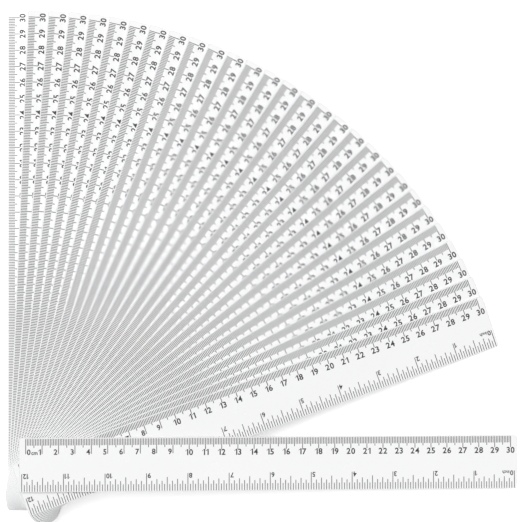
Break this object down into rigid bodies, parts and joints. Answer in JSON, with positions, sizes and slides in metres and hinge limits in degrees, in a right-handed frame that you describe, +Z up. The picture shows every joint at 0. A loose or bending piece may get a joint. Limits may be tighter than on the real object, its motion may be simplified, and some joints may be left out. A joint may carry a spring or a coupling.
{
  "type": "ruler set",
  "caption": "Set of loose flat clear-plastic rulers with centimetre and inch scales, laid out as an open fan with one ruler leaning across the fan's lower ends.",
  "frame": {"origin": "on the table, under the 0 cm mark of the lowest ruler's centreline, which is the fan's centre", "axes": "+Z up from the table, +Y along the lowest ruler towards its 30 cm end, +X along the front ruler towards its 30 cm end"},
  "size_m": [0.3145, 0.3155, 0.0465],
  "materials": {
    "ruler_plastic": "gloss, milky clear",
    "print_ink": "matt black printed scale"
  },
  "bodies": {
    "ruler_01": {"ruler_01": "ruler_plastic"},
    "ruler_02": {"ruler_02": "ruler_plastic"},
    "ruler_03": {"ruler_03": "ruler_plastic"},
    "ruler_04": {"ruler_04": "ruler_plastic"},
    "ruler_05": {"ruler_05": "ruler_plastic"},
    "ruler_06": {"ruler_06": "ruler_plastic"},
    "ruler_07": {"ruler_07": "ruler_plastic"},
    "ruler_08": {"ruler_08": "ruler_plastic"},
    "ruler_09": {"ruler_09": "ruler_plastic"},
    "ruler_10": {"ruler_10": "ruler_plastic"},
    "ruler_11": {"ruler_11": "ruler_plastic"},
    "ruler_12": {"ruler_12": "ruler_plastic"},
    "ruler_13": {"ruler_13": "ruler_plastic"},
    "ruler_14": {"ruler_14": "ruler_plastic"},
    "ruler_15": {"ruler_15": "ruler_plastic"},
    "ruler_16": {"ruler_16": "ruler_plastic"},
    "ruler_17": {"ruler_17": "ruler_plastic"},
    "ruler_18": {"ruler_18": "ruler_plastic"},
    "ruler_19": {"ruler_19": "ruler_plastic"},
    "ruler_20": {"ruler_20": "ruler_plastic"},
    "ruler_21": {"ruler_21": "ruler_plastic"},
    "ruler_22": {"ruler_22": "ruler_plastic"},
    "ruler_23": {"ruler_23": "ruler_plastic"},
    "ruler_24": {"ruler_24": "ruler_plastic"},
    "ruler_25": {"ruler_25": "ruler_plastic"},
    "ruler_26": {"ruler_26": "ruler_plastic"},
    "ruler_27": {"ruler_27": "ruler_plastic"},
    "ruler_28": {"ruler_28": "ruler_plastic"},
    "ruler_29": {"ruler_29": "ruler_plastic"},
    "front_ruler": {"front_ruler": "ruler_plastic"}
  },
  "joints": [
    {"name": "swing_02", "type": "hinge", "parent": "ruler_01", "child": "ruler_02", "pos_m": [0, 0, 0.00306], "axis": [0.1044, 0, 0.9945], "range_deg": [0, 2.43]},
    {"name": "swing_03", "type": "hinge", "parent": "ruler_02", "child": "ruler_03", "pos_m": [0, 0, 0.00443], "axis": [0.1053, 0, 0.9944], "range_deg": [0, 2.43]},
    {"name": "swing_04", "type": "hinge", "parent": "ruler_03", "child": "ruler_04", "pos_m": [0, 0, 0.0058], "axis": [0.1059, -0.0001, 0.9944], "range_deg": [0, 2.43]},
    {"name": "swing_05", "type": "hinge", "parent": "ruler_04", "child": "ruler_05", "pos_m": [0, 0, 0.00717], "axis": [0.1067, -0.0002, 0.9943], "range_deg": [0, 2.43]},
    {"name": "swing_06", "type": "hinge", "parent": "ruler_05", "child": "ruler_06", "pos_m": [0, 0, 0.00854], "axis": [0.1077, -0.0004, 0.9942], "range_deg": [0, 2.43]},
    {"name": "swing_07", "type": "hinge", "parent": "ruler_06", "child": "ruler_07", "pos_m": [0, 0, 0.00992], "axis": [0.1088, -0.0006, 0.9941], "range_deg": [0, 2.43]},
    {"name": "swing_08", "type": "hinge", "parent": "ruler_07", "child": "ruler_08", "pos_m": [0, 0, 0.0113], "axis": [0.1102, -0.001, 0.9939], "range_deg": [0, 2.43]},
    {"name": "swing_09", "type": "hinge", "parent": "ruler_08", "child": "ruler_09", "pos_m": [0, 0, 0.01268], "axis": [0.1117, -0.0014, 0.9937], "range_deg": [0, 2.43]},
    {"name": "swing_10", "type": "hinge", "parent": "ruler_09", "child": "ruler_10", "pos_m": [0, 0, 0.01407], "axis": [0.1133, -0.002, 0.9936], "range_deg": [0, 2.43]},
    {"name": "swing_11", "type": "hinge", "parent": "ruler_10", "child": "ruler_11", "pos_m": [0, 0, 0.01546], "axis": [0.1151, -0.0028, 0.9933], "range_deg": [0, 2.43]},
    {"name": "swing_12", "type": "hinge", "parent": "ruler_11", "child": "ruler_12", "pos_m": [0, 0, 0.01685], "axis": [0.1171, -0.0037, 0.9931], "range_deg": [0, 2.43]},
    {"name": "swing_13", "type": "hinge", "parent": "ruler_12", "child": "ruler_13", "pos_m": [0, 0, 0.01825], "axis": [0.1192, -0.0047, 0.9929], "range_deg": [0, 2.43]},
    {"name": "swing_14", "type": "hinge", "parent": "ruler_13", "child": "ruler_14", "pos_m": [0, 0, 0.01965], "axis": [0.1214, -0.006, 0.9926], "range_deg": [0, 2.43]},
    {"name": "swing_15", "type": "hinge", "parent": "ruler_14", "child": "ruler_15", "pos_m": [0, 0, 0.02106], "axis": [0.1237, -0.0074, 0.9923], "range_deg": [0, 2.43]},
    {"name": "swing_16", "type": "hinge", "parent": "ruler_15", "child": "ruler_16", "pos_m": [0, 0, 0.02246], "axis": [0.1261, -0.0091, 0.992], "range_deg": [0, 2.43]},
    {"name": "swing_17", "type": "hinge", "parent": "ruler_16", "child": "ruler_17", "pos_m": [0, 0, 0.02388], "axis": [0.1286, -0.0109, 0.9916], "range_deg": [0, 2.43]},
    {"name": "swing_18", "type": "hinge", "parent": "ruler_17", "child": "ruler_18", "pos_m": [0, 0, 0.02529], "axis": [0.1311, -0.013, 0.9913], "range_deg": [0, 2.43]},
    {"name": "swing_19", "type": "hinge", "parent": "ruler_18", "child": "ruler_19", "pos_m": [0, 0, 0.02671], "axis": [0.1338, -0.0154, 0.9909], "range_deg": [0, 2.43]},
    {"name": "swing_20", "type": "hinge", "parent": "ruler_19", "child": "ruler_20", "pos_m": [0, 0, 0.02813], "axis": [0.1364, -0.018, 0.9905], "range_deg": [0, 2.43]},
    {"name": "swing_21", "type": "hinge", "parent": "ruler_20", "child": "ruler_21", "pos_m": [0, 0, 0.02956], "axis": [0.1391, -0.0208, 0.9901], "range_deg": [0, 2.43]},
    {"name": "swing_22", "type": "hinge", "parent": "ruler_21", "child": "ruler_22", "pos_m": [0, 0, 0.03099], "axis": [0.1417, -0.0239, 0.9896], "range_deg": [0, 2.43]},
    {"name": "swing_23", "type": "hinge", "parent": "ruler_22", "child": "ruler_23", "pos_m": [0, 0, 0.03242], "axis": [0.1444, -0.0273, 0.9891], "range_deg": [0, 2.43]},
    {"name": "swing_24", "type": "hinge", "parent": "ruler_23", "child": "ruler_24", "pos_m": [0, 0, 0.03386], "axis": [0.147, -0.0309, 0.9887], "range_deg": [0, 2.43]},
    {"name": "swing_25", "type": "hinge", "parent": "ruler_24", "child": "ruler_25", "pos_m": [0, 0, 0.0353], "axis": [0.1496, -0.0348, 0.9881], "range_deg": [0, 2.43]},
    {"name": "swing_26", "type": "hinge", "parent": "ruler_25", "child": "ruler_26", "pos_m": [0, 0, 0.03675], "axis": [0.1521, -0.039, 0.9876], "range_deg": [0, 2.43]},
    {"name": "swing_27", "type": "hinge", "parent": "ruler_26", "child": "ruler_27", "pos_m": [0, 0, 0.0382], "axis": [0.1545, -0.0434, 0.987], "range_deg": [0, 2.43]},
    {"name": "swing_28", "type": "hinge", "parent": "ruler_27", "child": "ruler_28", "pos_m": [0, 0, 0.03965], "axis": [0.1568, -0.0482, 0.9865], "range_deg": [0, 2.43]},
    {"name": "swing_29", "type": "hinge", "parent": "ruler_28", "child": "ruler_29", "pos_m": [0, 0, 0.04111], "axis": [0.159, -0.0532, 0.9858], "range_deg": [0, 2.43]},
    {"name": "front_lift", "type": "slide", "parent": "ruler_29", "child": "front_ruler", "axis": [0, 0, 1], "range_m": [0, 0.06]}
  ]
}
